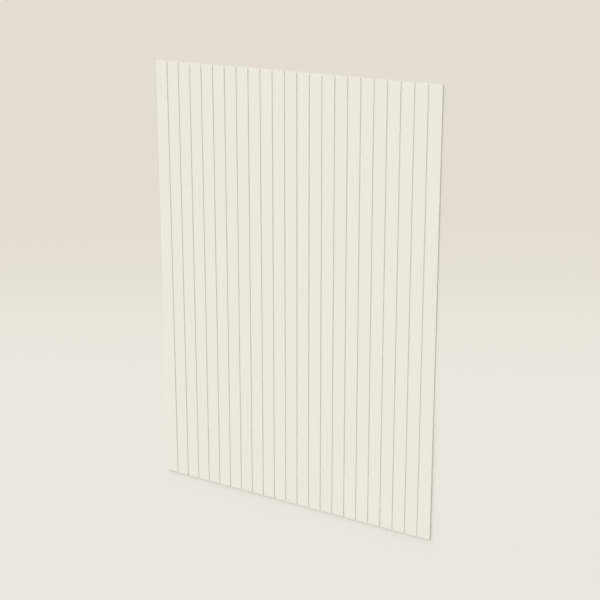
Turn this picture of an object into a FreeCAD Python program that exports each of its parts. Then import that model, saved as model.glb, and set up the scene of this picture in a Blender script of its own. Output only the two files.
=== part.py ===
"""Beadboard panel: one painted sheet, milled on its face with evenly spaced narrow grooves.

The panel lies flat with its back on Z = 0 and its grooved face up. X runs across the grooves, Y runs along
them, and the origin is the middle of the back. All sizes are in millimetres.
"""

import FreeCAD, Part
import math
import os

from FreeCAD import Vector

# Driving dimensions of the sheet: 34 1/2 in wide, 48 in long and 1/4 in thick
PANEL_WIDTH = 876.3
PANEL_LENGTH = 1219.2
PANEL_THICKNESS = 6.35
ARRIS_RADIUS = 0.4

# Driving dimensions of the grooves, which part the face into strips at 1 1/2 in centres
STRIP_PITCH = 38.1
GROOVE_WIDTH = 3.7
GROOVE_DEPTH = 3.2
WALL_DRAFT_DEGREES = 4.0
SHOULDER_RADIUS = 0.4
ROOT_RADIUS = 0.6


def groove_centres():
    """Places of the grooves across the panel: even strips, counted from the panel's middle."""
    grooves = round(PANEL_WIDTH / STRIP_PITCH) - 1
    return [(index - (grooves - 1) / 2) * STRIP_PITCH for index in range(grooves)]


def groove_corners(centre):
    """Sharp corners of one groove from right to left, each with the radius that softens it."""
    half_mouth = GROOVE_WIDTH / 2
    half_floor = half_mouth - GROOVE_DEPTH * math.tan(math.radians(WALL_DRAFT_DEGREES))
    floor_height = PANEL_THICKNESS - GROOVE_DEPTH
    return [
        (Vector(centre + half_mouth, 0, PANEL_THICKNESS), SHOULDER_RADIUS),
        (Vector(centre + half_floor, 0, floor_height), ROOT_RADIUS),
        (Vector(centre - half_floor, 0, floor_height), ROOT_RADIUS),
        (Vector(centre - half_mouth, 0, PANEL_THICKNESS), SHOULDER_RADIUS),
    ]


def section_corners():
    """Corners of the panel's cross section, anticlockwise as seen from the front end."""
    right = PANEL_WIDTH / 2
    corners = [
        (Vector(-right, 0, 0), ARRIS_RADIUS),
        (Vector(right, 0, 0), ARRIS_RADIUS),
        (Vector(right, 0, PANEL_THICKNESS), ARRIS_RADIUS),
    ]
    for centre in reversed(groove_centres()):
        corners += groove_corners(centre)
    corners.append((Vector(-right, 0, PANEL_THICKNESS), ARRIS_RADIUS))
    return corners


def corner_arc(before, corner, after, radius):
    """Start, middle and end of the arc that rounds a corner, tangent to both of its sides."""
    to_before = (before - corner).normalize()
    to_after = (after - corner).normalize()
    half_angle = to_before.getAngle(to_after) / 2
    bisector = (to_before + to_after).normalize()
    setback = radius / math.tan(half_angle)
    arc_middle = corner + bisector * (radius / math.sin(half_angle) - radius)
    return corner + to_before * setback, arc_middle, corner + to_after * setback


def rounded_wire(corners):
    """Closed wire through the corners, with a tangent arc at each and straight runs between the arcs."""
    points = [point for point, radius in corners]
    following = points[1:] + points[:1]
    arcs = [
        corner_arc(points[index - 1], point, following[index], radius)
        for index, (point, radius) in enumerate(corners)
    ]
    edges = []
    for arc, next_arc in zip(arcs, arcs[1:] + arcs[:1]):
        edges.append(Part.Arc(*arc).toShape())
        edges.append(Part.LineSegment(arc[-1], next_arc[0]).toShape())
    return Part.Wire(edges)


def beadboard_panel():
    """The cross section drawn at one sawn end and run along the grooves to the other."""
    section = Part.Face(rounded_wire(section_corners()))
    section.translate(Vector(0, -PANEL_LENGTH / 2, 0))
    return section.extrude(Vector(0, PANEL_LENGTH, 0))


def main():
    os.makedirs("parts", exist_ok=True)
    panel = beadboard_panel()
    panel.exportStep("parts/beadboard_panel.step")
    box = panel.BoundBox
    print("beadboard_panel valid", panel.isValid(), "faces", len(panel.Faces))
    print("size", round(box.XLength, 3), round(box.YLength, 3), round(box.ZLength, 3))
    print("volume in litres", round(panel.Volume / 1e6, 4), "grooves", len(groove_centres()))


main()
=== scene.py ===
"""Looks of the beadboard panel: a painted sheet with milled grooves, lying on a pale floor.

Everything is in metres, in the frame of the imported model: X runs across the grooves, Y runs along them
towards the top end, and Z points out of the grooved face.
"""

import math
from collections import namedtuple
from itertools import accumulate

import bpy
from mathutils import Matrix, Vector


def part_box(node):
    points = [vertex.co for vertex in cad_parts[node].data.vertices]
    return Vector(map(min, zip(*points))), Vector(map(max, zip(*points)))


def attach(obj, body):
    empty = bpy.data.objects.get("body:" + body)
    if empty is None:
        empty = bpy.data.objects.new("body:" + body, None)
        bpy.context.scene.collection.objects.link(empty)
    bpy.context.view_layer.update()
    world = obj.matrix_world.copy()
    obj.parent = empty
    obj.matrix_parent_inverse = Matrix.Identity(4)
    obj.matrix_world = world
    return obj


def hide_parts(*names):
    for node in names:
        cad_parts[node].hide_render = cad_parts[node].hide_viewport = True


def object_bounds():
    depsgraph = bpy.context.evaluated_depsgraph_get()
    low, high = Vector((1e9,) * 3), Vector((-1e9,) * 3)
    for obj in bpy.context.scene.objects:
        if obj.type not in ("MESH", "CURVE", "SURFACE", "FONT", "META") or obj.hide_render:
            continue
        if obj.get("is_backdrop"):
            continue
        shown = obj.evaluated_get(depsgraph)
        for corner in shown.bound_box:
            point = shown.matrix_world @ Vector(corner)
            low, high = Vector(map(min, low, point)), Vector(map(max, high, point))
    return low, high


NODE = "beadboard_panel"
BODY = "root"

# Headings along the section's line, counted from X towards Z
QUARTER_TURN = math.pi / 2
RIGHTWARD = 0
UPWARD = QUARTER_TURN
DOWNWARD = -QUARTER_TURN
LEFTWARD = -2 * QUARTER_TURN

# The milled section, as in the solid
STRIP_PITCH = 0.0381
GROOVE_WIDTH = 0.0037
GROOVE_DEPTH = 0.0032
WALL_DRAFT = math.radians(4)
SHOULDER_RADIUS = 0.0004
ROOT_RADIUS = 0.0006
ARRIS_RADIUS = 0.0004

# How finely the section's arcs are drawn, and how the paint softens the sawn ends
ARC_STEP = math.radians(15)
END_ARRIS_RADIUS = 0.00025
END_ARRIS_STEPS = 4

# Order of the paints in the mesh's list of materials
FACE, EDGE, BACK = range(3)

# Layout of the texture map: the unrolled sheet with its back squeezed, and the two end faces above it
MAP_NAME = "OFBake"
MAP_MARGIN = 0.004
MAP_BACK_SQUEEZE = 0.3
MAP_SHEET_TOP = 0.95
MAP_END_BOTTOMS = (0.955, 0.978)
MAP_END_HEIGHT = 0.018

# Linear colours of the paint: on the face and the back; down in the grooves, a greyer coat darkened with
# painted shade; and on sawn edges, soaked-in paint darkened with painted shade
FACE_CREAM = (0.839, 0.807, 0.716)
GROOVE_SHADED_CREAM = (0.805, 0.782, 0.722)
EDGE_SHADED_CREAM = (0.72, 0.702, 0.63)

# How much light every coat of paint mirrors
PAINT_SPECULAR = 0.3

# Noise textures: their octaves of finer detail, and the range that most of their values lie in
NOISE_DETAIL = 2
NOISE_RANGE = (0.3, 0.7)

# The face's coat: a drifting tone and sheen, and the stipple that a roller leaves
COAT_DRIFT_SIZE = 0.2
COAT_TONES = (0.99, 1.01)
COAT_SHEEN_SIZE = 0.03
COAT_ROUGHNESS = (0.5, 0.58)
ROLLER_SIZE = 0.0028
ROLLER_DEPTH = 0.00006
STIPPLE_SIZE = 0.0008
STIPPLE_DEPTH = 0.000014

# Down in the grooves the coat is duller, and fibres raised by the milling run along them
GROOVE_DULLING = 0.14
MILLING_SIZE = 0.0005
MILLING_STRETCH = (1, 0.04, 1)
MILLING_DEPTH = 0.00006

# Sawn edges: fibres that lie flat in the sheet, marks of the saw, and a core that takes up more paint
FIBRE_SIZE = 0.0012
FIBRE_STRETCH = (1, 1, 4)
FIBRE_DEPTH = 0.00006
SAW_MARK_SIZE = 0.0016
SAW_MARK_DEPTH = 0.00003
EDGE_DRIFT_SIZE = 0.012
EDGE_TONES = (0.97, 1.02)
EDGE_ROUGHNESS = (0.5, 0.62)
CORE_TONE = 0.95

# Back: one thin coat over lengthwise sanding
BACK_DRIFT_SIZE = 0.06
BACK_TONES = (0.96, 1)
BACK_ROUGHNESS = (0.52, 0.64)
SANDING_SIZE = 0.0012
SANDING_STRETCH = (1, 0.02, 1)
SANDING_DEPTH = 0.00003

# The floor: linear colours, and the range in which they drift along a line turned a little from Y
FLOOR_SIZE = 60
FLOOR_NEAR = (0.839, 0.799, 0.73)
FLOOR_FAR = (0.775, 0.716, 0.638)
FLOOR_TURN = math.radians(9)
FLOOR_DRIFT = (-0.24, 0.23)

# Distances from the panel's middle between which the floor's near tone fades out
FLOOR_FADE = (1.8, 6)

# How far the near and the far floor's shade is evened out, and the range between, along the same line
FLOOR_EVENNESS = (0.1, 0.85)
FLOOR_EVENING = (-0.55, -0.2)

# Light on a face that looks up, as shares of a plain level of 1
WHITE = (1, 1, 1)
AMBIENT = 0.45
KEY = 0.55
KEY_DIRECTION = Vector((-0.2, 1, 1)).normalized()
KEY_ANGLE = math.radians(90)

# The photograph's view, by angles from the face's normal with the top end up
CAMERA_LENS = 84.82
CAMERA_SENSOR = 36
CAMERA_AIM = Vector((0.02845, -0.00308, 0.00635))
CAMERA_DISTANCE = 3.822
CAMERA_AZIMUTH = math.radians(32)
CAMERA_ELEVATION = math.radians(17)

# One ring of the mesh: how far its surface tilts to an end, its place along Y and its inset
Ring = namedtuple("Ring", "tilt place inset")

# One face of the mesh: its vertices, its paint and its places on the texture map
Face = namedtuple("Face", "corners paint places")


def along(heading):
    """Unit vector of a heading in the section."""
    return Vector((math.cos(heading), math.sin(heading)))


def outward(heading):
    """Normal of the surface where the section's line runs along a heading, clockwise round the solid."""
    return Vector((-math.sin(heading), math.cos(heading)))


def rounded_corner(corner, heading_in, heading_out, radius):
    """Points and normals along the arc that rounds a sharp corner of the section."""
    turn = heading_out - heading_in
    side = math.copysign(radius, turn)
    start = Vector(corner) - along(heading_in) * radius * math.tan(abs(turn) / 2)
    centre = start + outward(heading_in) * side
    steps = math.ceil(abs(turn) / ARC_STEP)
    headings = [heading_in + turn * step / steps for step in range(steps + 1)]
    return [(centre - outward(heading) * side, outward(heading)) for heading in headings]


def groove_centres(width):
    """Places of the grooves across the panel: even strips, counted from the panel's middle."""
    grooves = round(width / STRIP_PITCH) - 1
    return [(index - (grooves - 1) / 2) * STRIP_PITCH for index in range(grooves)]


def groove_line(centre, face_height):
    """One groove from left to right: shoulder, wall, root, floor, root, wall and shoulder."""
    down = DOWNWARD + WALL_DRAFT
    up = UPWARD - WALL_DRAFT
    half_mouth = GROOVE_WIDTH / 2
    half_floor = half_mouth - GROOVE_DEPTH * math.tan(WALL_DRAFT)
    floor_height = face_height - GROOVE_DEPTH
    return [
        *rounded_corner((centre - half_mouth, face_height), RIGHTWARD, down, SHOULDER_RADIUS),
        *rounded_corner((centre - half_floor, floor_height), down, RIGHTWARD, ROOT_RADIUS),
        *rounded_corner((centre + half_floor, floor_height), RIGHTWARD, up, ROOT_RADIUS),
        *rounded_corner((centre + half_mouth, face_height), up, RIGHTWARD, SHOULDER_RADIUS),
    ]


def face_line(width, thickness):
    """The section's line over the face from left to right, and where along it strips and grooves part."""
    line = rounded_corner((-width / 2, thickness), UPWARD, RIGHTWARD, ARRIS_RADIUS)
    cuts = [0]
    for centre in groove_centres(width):
        groove = groove_line(centre, thickness)
        cuts += [len(line), len(line) + len(groove) - 1]
        line += groove
    line += rounded_corner((width / 2, thickness), RIGHTWARD, DOWNWARD, ARRIS_RADIUS)
    return line, [*cuts, len(line) - 1]


def back_line(width, cut_places):
    """The section's line along the back from right to left, with a point under each cut of the face."""
    up_again = LEFTWARD - QUARTER_TURN
    line = rounded_corner((width / 2, 0), DOWNWARD, LEFTWARD, ARRIS_RADIUS)
    cuts = [0, *range(len(line), len(line) + len(cut_places))]
    line += [(Vector((place, 0)), outward(LEFTWARD)) for place in reversed(cut_places)]
    line += rounded_corner((-width / 2, 0), LEFTWARD, up_again, ARRIS_RADIUS)
    return line, [*cuts, len(line) - 1]


class Section:
    """The panel's cross section as a closed line, clockwise from the left edge's top.

    points and normals run along the face to the right, and along the back to the left. cuts pairs the
    face's and the back's points where the section parts into strips and the webs under the grooves.
    """

    def __init__(self, width, thickness):
        face, face_cuts = face_line(width, thickness)
        back, back_cuts = back_line(width, [face[cut][0].x for cut in face_cuts[1:-1]])
        self.points = [point for point, normal in face + back]
        self.normals = [normal for point, normal in face + back]
        self.face_end = len(face) - 1
        self.cuts = list(zip(face_cuts, [len(face) + cut for cut in reversed(back_cuts)]))

    def paint(self, index):
        """Which paint is on the surface from a point of the line to the next."""
        if index in (self.face_end, len(self.points) - 1):
            return EDGE
        return FACE if index < self.face_end else BACK

    def map_steps(self):
        """Widths on the texture map from each point of the line to the next."""
        for index, point in enumerate(self.points):
            following = self.points[(index + 1) % len(self.points)]
            squeeze = MAP_BACK_SQUEEZE if self.paint(index) == BACK else 1
            yield (following - point).length * squeeze

    def end_outlines(self):
        """Outlines of one end face: a strip, the web under a groove, a strip and so on."""
        for (left, back_left), (right, back_right) in zip(self.cuts, self.cuts[1:]):
            yield [*range(left, right + 1), *range(back_right, back_left + 1)]


def end_rings(length):
    """The rings that carry the section from the foot to the top end, with a softened arris at both."""
    quarter = [QUARTER_TURN * step / END_ARRIS_STEPS for step in range(END_ARRIS_STEPS + 1)]
    straight = length / 2 - END_ARRIS_RADIUS
    for end, tilts in ((-1, reversed(quarter)), (1, quarter)):
        for tilt in tilts:
            place = end * (straight + END_ARRIS_RADIUS * math.sin(tilt))
            yield Ring(end * tilt, place, END_ARRIS_RADIUS * (1 - math.cos(tilt)))


def ring_points(section, rings):
    """Vertices and normals of the section's line on every ring."""
    vertices, normals = [], []
    for ring in rings:
        for point, normal in zip(section.points, section.normals):
            at = point - normal * ring.inset
            vertices.append((at.x, ring.place, at.y))
            flat = normal * math.cos(ring.tilt)
            normals.append((flat.x, math.sin(ring.tilt), flat.y))
    return vertices, normals


def map_places(steps, extent):
    """Places on the texture map of points some steps apart, over an extent of it within its margins."""
    lengths = list(accumulate(steps, initial=0))
    scale = (extent - 2 * MAP_MARGIN) / lengths[-1]
    return [MAP_MARGIN + length * scale for length in lengths]


def sheet_faces(section, rings):
    """The faces between neighbouring rings."""
    count = len(section.points)
    spots = [Vector((ring.place, ring.inset)) for ring in rings]
    across = map_places(section.map_steps(), extent=1)
    lengthwise = map_places([(b - a).length for a, b in zip(spots, spots[1:])], MAP_SHEET_TOP)
    for ring in range(len(rings) - 1):
        low, high = ring * count, (ring + 1) * count
        bottom, top = lengthwise[ring], lengthwise[ring + 1]
        for index in range(count):
            following = (index + 1) % count
            corners = [low + index, low + following, high + following, high + index]
            left, right = across[index], across[index + 1]
            places = [(left, bottom), (right, bottom), (right, top), (left, top)]
            yield Face(corners, section.paint(index), places)


def end_faces(section, vertices, size):
    """The faces that close the two ends, as strips and webs."""
    last_ring = len(vertices) - len(section.points)
    for first, order, bottom in zip((0, last_ring), (-1, 1), MAP_END_BOTTOMS):
        for outline in section.end_outlines():
            corners = [first + index for index in outline][::order]
            places = []
            for x, y, z in [vertices[corner] for corner in corners]:
                share = x / size.x + 1 / 2
                left = MAP_MARGIN + share * (1 - 2 * MAP_MARGIN)
                places.append((left, bottom + z / size.z * MAP_END_HEIGHT))
            yield Face(corners, EDGE, places)


def panel_mesh(box, materials):
    """Closed mesh of the panel between the box's corners, with true normals and a texture map."""
    size = box[1] - box[0]
    section = Section(size.x, size.z)
    rings = list(end_rings(size.y))
    vertices, normals = ring_points(section, rings)
    faces = [*sheet_faces(section, rings), *end_faces(section, vertices, size)]
    mesh = bpy.data.meshes.new("painted_panel")
    mesh.from_pydata(vertices, [], [face.corners for face in faces])
    for material in materials:
        mesh.materials.append(material)
    mesh.polygons.foreach_set("material_index", [face.paint for face in faces])
    numbers = [number for face in faces for place in face.places for number in place]
    mesh.uv_layers.new(name=MAP_NAME).data.foreach_set("uv", numbers)
    mesh.shade_smooth()
    mesh.normals_split_custom_set_from_vertices(normals)
    return mesh


def opaque(colour):
    """A colour with its alpha."""
    return (*colour, 1)


def connect(tree, node, inputs):
    """Sets a node's inputs, each to a value or to another node's output."""
    for name, value in inputs.items():
        if isinstance(value, bpy.types.NodeSocket):
            tree.links.new(value, node.inputs[name])
        else:
            node.inputs[name].default_value = value


def add_node(tree, kind, inputs, **settings):
    """A new shader node with its settings and inputs."""
    node = tree.nodes.new("ShaderNode" + kind)
    for name, value in settings.items():
        setattr(node, name, value)
    connect(tree, node, inputs)
    return node


def maths(tree, operation, *values):
    """The result of one operation on values or on other nodes' outputs."""
    return add_node(tree, "Math", dict(enumerate(values)), operation=operation).outputs[0]


def ranged(tree, value, from_low, from_high, low, high):
    """A value carried over from one range to another, and held within it."""
    inputs = {"Value": value, "From Min": from_low, "From Max": from_high, "To Min": low, "To Max": high}
    return add_node(tree, "MapRange", inputs).outputs[0]


def noise(tree, coordinates, size, low=0, high=1):
    """Noise with features of about a given size in metres, carried over to a range of values."""
    inputs = {"Vector": coordinates, "Scale": 1 / size, "Detail": NOISE_DETAIL}
    texture = add_node(tree, "TexNoise", inputs)
    return ranged(tree, texture.outputs[0], *NOISE_RANGE, low, high)


def stretched(tree, coordinates, scale):
    """The coordinates scaled along each axis, so that noise on them is drawn out along the least."""
    return add_node(tree, "Mapping", {"Vector": coordinates, "Scale": scale}).outputs[0]


def axes(tree, coordinates):
    """The coordinates' X, Y and Z."""
    return add_node(tree, "SeparateXYZ", {"Vector": coordinates}).outputs


def blended(tree, share, first, second, interpolation="LINEAR"):
    """A colour between two others."""
    node = add_node(tree, "ValToRGB", {"Fac": share})
    node.color_ramp.interpolation = interpolation
    for stop, colour in zip(node.color_ramp.elements, (first, second)):
        stop.color = opaque(colour)
    return node.outputs["Color"]


def new_paint(name):
    """A new material, its node tree, its shader and the coordinates of the object in metres."""
    material = bpy.data.materials.new(name)
    material.use_nodes = True
    tree = material.node_tree
    coordinates = add_node(tree, "TexCoord", {}).outputs["Object"]
    return material, tree, tree.nodes["Principled BSDF"], coordinates


def colour_paint(tree, shader, colour, tone, roughness):
    """Gives the shader a colour, made lighter or darker by a tone about 1, and a roughness."""
    toned = add_node(tree, "VectorMath", {0: colour, "Scale": tone}, operation="SCALE").outputs[0]
    inputs = {"Base Color": toned, "Roughness": roughness, "Specular IOR Level": PAINT_SPECULAR}
    connect(tree, shader, inputs)


def emboss_paint(tree, shader, *layers):
    """Bumps on bumps, each layer a height from 0 to 1 and its real depth in metres."""
    below = {}
    for height, depth in layers:
        bump = add_node(tree, "Bump", {"Height": height, "Distance": depth, **below})
        below = {"Normal": bump.outputs[0]}
    connect(tree, shader, below)


def face_paint(face_height):
    """Satin paint with a roller's stipple, and down in the grooves a duller, greyer coat over milled
    fibres, darkened with painted shade.
    """
    material, tree, shader, coordinates = new_paint("satin_face_paint")
    height = axes(tree, coordinates)["Z"]
    sunk = ranged(tree, height, face_height - GROOVE_DEPTH, face_height, 1, 0)
    # Down in the grooves the cream turns greyer and darker: partly a greyer coat, partly painted shade
    colour = blended(tree, sunk, FACE_CREAM, GROOVE_SHADED_CREAM)
    tone = noise(tree, coordinates, COAT_DRIFT_SIZE, *COAT_TONES)
    sheen = noise(tree, coordinates, COAT_SHEEN_SIZE, *COAT_ROUGHNESS)
    dulling = maths(tree, "MULTIPLY", sunk, GROOVE_DULLING)
    colour_paint(tree, shader, colour, tone, maths(tree, "ADD", sheen, dulling))
    roller = noise(tree, coordinates, ROLLER_SIZE)
    stipple = noise(tree, coordinates, STIPPLE_SIZE)
    milling = noise(tree, stretched(tree, coordinates, MILLING_STRETCH), MILLING_SIZE)
    milling_depth = maths(tree, "MULTIPLY", sunk, MILLING_DEPTH)
    layers = [(roller, ROLLER_DEPTH), (stipple, STIPPLE_DEPTH), (milling, milling_depth)]
    emboss_paint(tree, shader, *layers)
    return material


def edge_paint(face_height):
    """Paint that has soaked into the sawn edges, so that the fibres and the saw's marks show through,
    darkened with painted shade.
    """
    material, tree, shader, coordinates = new_paint("soaked_and_shaded_edge_paint")
    place = axes(tree, coordinates)
    above_middle = maths(tree, "SUBTRACT", place["Z"], face_height / 2)
    off_middle = maths(tree, "ABSOLUTE", above_middle)
    core = ranged(tree, off_middle, 0, face_height / 2, CORE_TONE, 1)
    drift = noise(tree, coordinates, EDGE_DRIFT_SIZE, *EDGE_TONES)
    roughness = noise(tree, coordinates, EDGE_DRIFT_SIZE, *EDGE_ROUGHNESS)
    # The edges' darker cream is partly soaked-in paint and partly painted shade
    colour_paint(tree, shader, EDGE_SHADED_CREAM, maths(tree, "MULTIPLY", drift, core), roughness)
    fibres = noise(tree, stretched(tree, coordinates, FIBRE_STRETCH), FIBRE_SIZE)
    way_round = maths(tree, "ADD", place["X"], place["Y"])
    upright = add_node(tree, "CombineXYZ", {"X": way_round}).outputs[0]
    saw_marks = noise(tree, upright, SAW_MARK_SIZE)
    emboss_paint(tree, shader, (fibres, FIBRE_DEPTH), (saw_marks, SAW_MARK_DEPTH))
    return material


def back_paint():
    """One thin flat coat of paint over the sanded back."""
    material, tree, shader, coordinates = new_paint("flat_back_paint")
    tone = noise(tree, coordinates, BACK_DRIFT_SIZE, *BACK_TONES)
    roughness = noise(tree, coordinates, BACK_DRIFT_SIZE, *BACK_ROUGHNESS)
    colour_paint(tree, shader, FACE_CREAM, tone, roughness)
    sanding = noise(tree, stretched(tree, coordinates, SANDING_STRETCH), SANDING_SIZE)
    emboss_paint(tree, shader, (sanding, SANDING_DEPTH))
    return material


def add_object(name, data):
    """A new object in the scene."""
    made = bpy.data.objects.new(name, data)
    bpy.context.scene.collection.objects.link(made)
    return made


def painted_panel():
    """The painted sheet, which stands for the plain solid."""
    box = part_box(NODE)
    face_height = box[1].z
    # In the order of FACE, EDGE and BACK
    paints = [face_paint(face_height), edge_paint(face_height), back_paint()]
    panel = add_object("painted_panel", panel_mesh(box, paints))
    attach(panel, BODY)
    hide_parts(NODE)


def seen_directly(tree):
    """1 for what the camera sees, also in a mirror or through glass, and 0 for what lights the scene."""
    rays = add_node(tree, "LightPath", {}).outputs
    seen = maths(tree, "MAXIMUM", rays["Is Camera Ray"], rays["Is Glossy Ray"])
    return maths(tree, "MAXIMUM", seen, rays["Is Transmission Ray"])


def show_mix(tree, share, first, second, output):
    """Sends a mix of two shaders to the tree's output."""
    mix = add_node(tree, "MixShader", {0: share, 1: first.outputs[0], 2: second.outputs[0]})
    connect(tree, tree.nodes[output], {"Surface": mix.outputs[0]})


def far_along(tree, coordinates):
    """How far off a place on the floor is, along the line turned a little from Y."""
    turn = {"Vector": coordinates, "Rotation": (0, 0, -FLOOR_TURN)}
    return axes(tree, add_node(tree, "Mapping", turn).outputs[0])["Y"]


def floor_colour(tree, coordinates, way):
    """A colour that drifts gently from the floor's near tone to its far tone."""
    drift = ranged(tree, way, *FLOOR_DRIFT, 0, 1)
    distance = add_node(tree, "VectorMath", {0: coordinates}, operation="LENGTH").outputs["Value"]
    fade = ranged(tree, distance, *FLOOR_FADE, 0, 1)
    return blended(tree, maths(tree, "MAXIMUM", drift, fade), FLOOR_NEAR, FLOOR_FAR, "EASE")


def floor_paint():
    """Matt paint whose tone drifts past the panel, with its shade evened out, most of all far off."""
    material, tree, shader, coordinates = new_paint("floor")
    way = far_along(tree, coordinates)
    colour = floor_colour(tree, coordinates, way)
    connect(tree, shader, {"Base Color": colour, "Roughness": 1, "Specular IOR Level": 0})
    even = add_node(tree, "Emission", {"Color": colour})
    evenness = ranged(tree, way, *FLOOR_EVENING, *FLOOR_EVENNESS)
    share = maths(tree, "MULTIPLY", seen_directly(tree), evenness)
    show_mix(tree, share, shader, even, "Material Output")
    return material


def floor():
    """A wide pale floor under the panel's back."""
    half = FLOOR_SIZE / 2
    corners = [(-half, -half, 0), (half, -half, 0), (half, half, 0), (-half, half, 0)]
    mesh = bpy.data.meshes.new("floor")
    mesh.from_pydata(corners, [], [list(range(len(corners)))])
    mesh.materials.append(floor_paint())
    add_object("floor", mesh)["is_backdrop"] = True


def ambient_light():
    """Even light from all round, in place of which the camera sees the floor's far tone."""
    world = bpy.data.worlds.new("studio")
    world.use_nodes = True
    tree = world.node_tree
    light = tree.nodes["Background"]
    connect(tree, light, {"Color": opaque(WHITE), "Strength": AMBIENT})
    backdrop = add_node(tree, "Background", {"Color": opaque(FLOOR_FAR)})
    show_mix(tree, seen_directly(tree), light, backdrop, "World Output")
    bpy.context.scene.world = world


def key_light():
    """A broad soft lamp over the panel's top end, a little to the left."""
    lamp = bpy.data.lights.new("key", "SUN")
    lamp.angle = KEY_ANGLE
    # A strength of pi gives a level of 1 on a face that looks straight at the lamp
    lamp.energy = KEY * math.pi / KEY_DIRECTION.z
    key = add_object("key", lamp)
    key.rotation_euler = KEY_DIRECTION.to_track_quat("Z", "Y").to_euler()


def camera():
    """The photograph's viewpoint, with the panel's top end up in the picture."""
    back = Vector((
        math.sin(CAMERA_AZIMUTH) * math.cos(CAMERA_ELEVATION),
        math.sin(CAMERA_ELEVATION),
        math.cos(CAMERA_AZIMUTH) * math.cos(CAMERA_ELEVATION),
    ))
    towards_top_end = Vector((0, 1, 0))
    side = towards_top_end.cross(back).normalized()
    turn = Matrix((side, back.cross(side), back)).transposed()
    lens = bpy.data.cameras.new("camera")
    lens.lens = CAMERA_LENS
    lens.sensor_width = CAMERA_SENSOR
    viewpoint = add_object("camera", lens)
    viewpoint.matrix_world = Matrix.Translation(CAMERA_AIM + back * CAMERA_DISTANCE) @ turn.to_4x4()
    bpy.context.scene.camera = viewpoint


def write_sizes(solid_box):
    """Puts the solid's box and the dressed panel's box into lists, and keeps them nowhere."""
    sizes = {"cad": solid_box, "visual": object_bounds()}
    {name: [list(corner) for corner in box] for name, box in sizes.items()}


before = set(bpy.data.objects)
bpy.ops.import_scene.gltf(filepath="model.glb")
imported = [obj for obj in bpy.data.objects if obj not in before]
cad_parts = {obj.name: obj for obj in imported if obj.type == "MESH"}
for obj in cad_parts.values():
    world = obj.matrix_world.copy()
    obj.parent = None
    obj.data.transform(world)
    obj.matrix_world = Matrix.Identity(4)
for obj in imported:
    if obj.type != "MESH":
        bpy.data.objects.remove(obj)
solid_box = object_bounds()
bpy.context.scene.view_settings.view_transform = "Standard"
painted_panel()
floor()
ambient_light()
key_light()
camera()
write_sizes(solid_box)
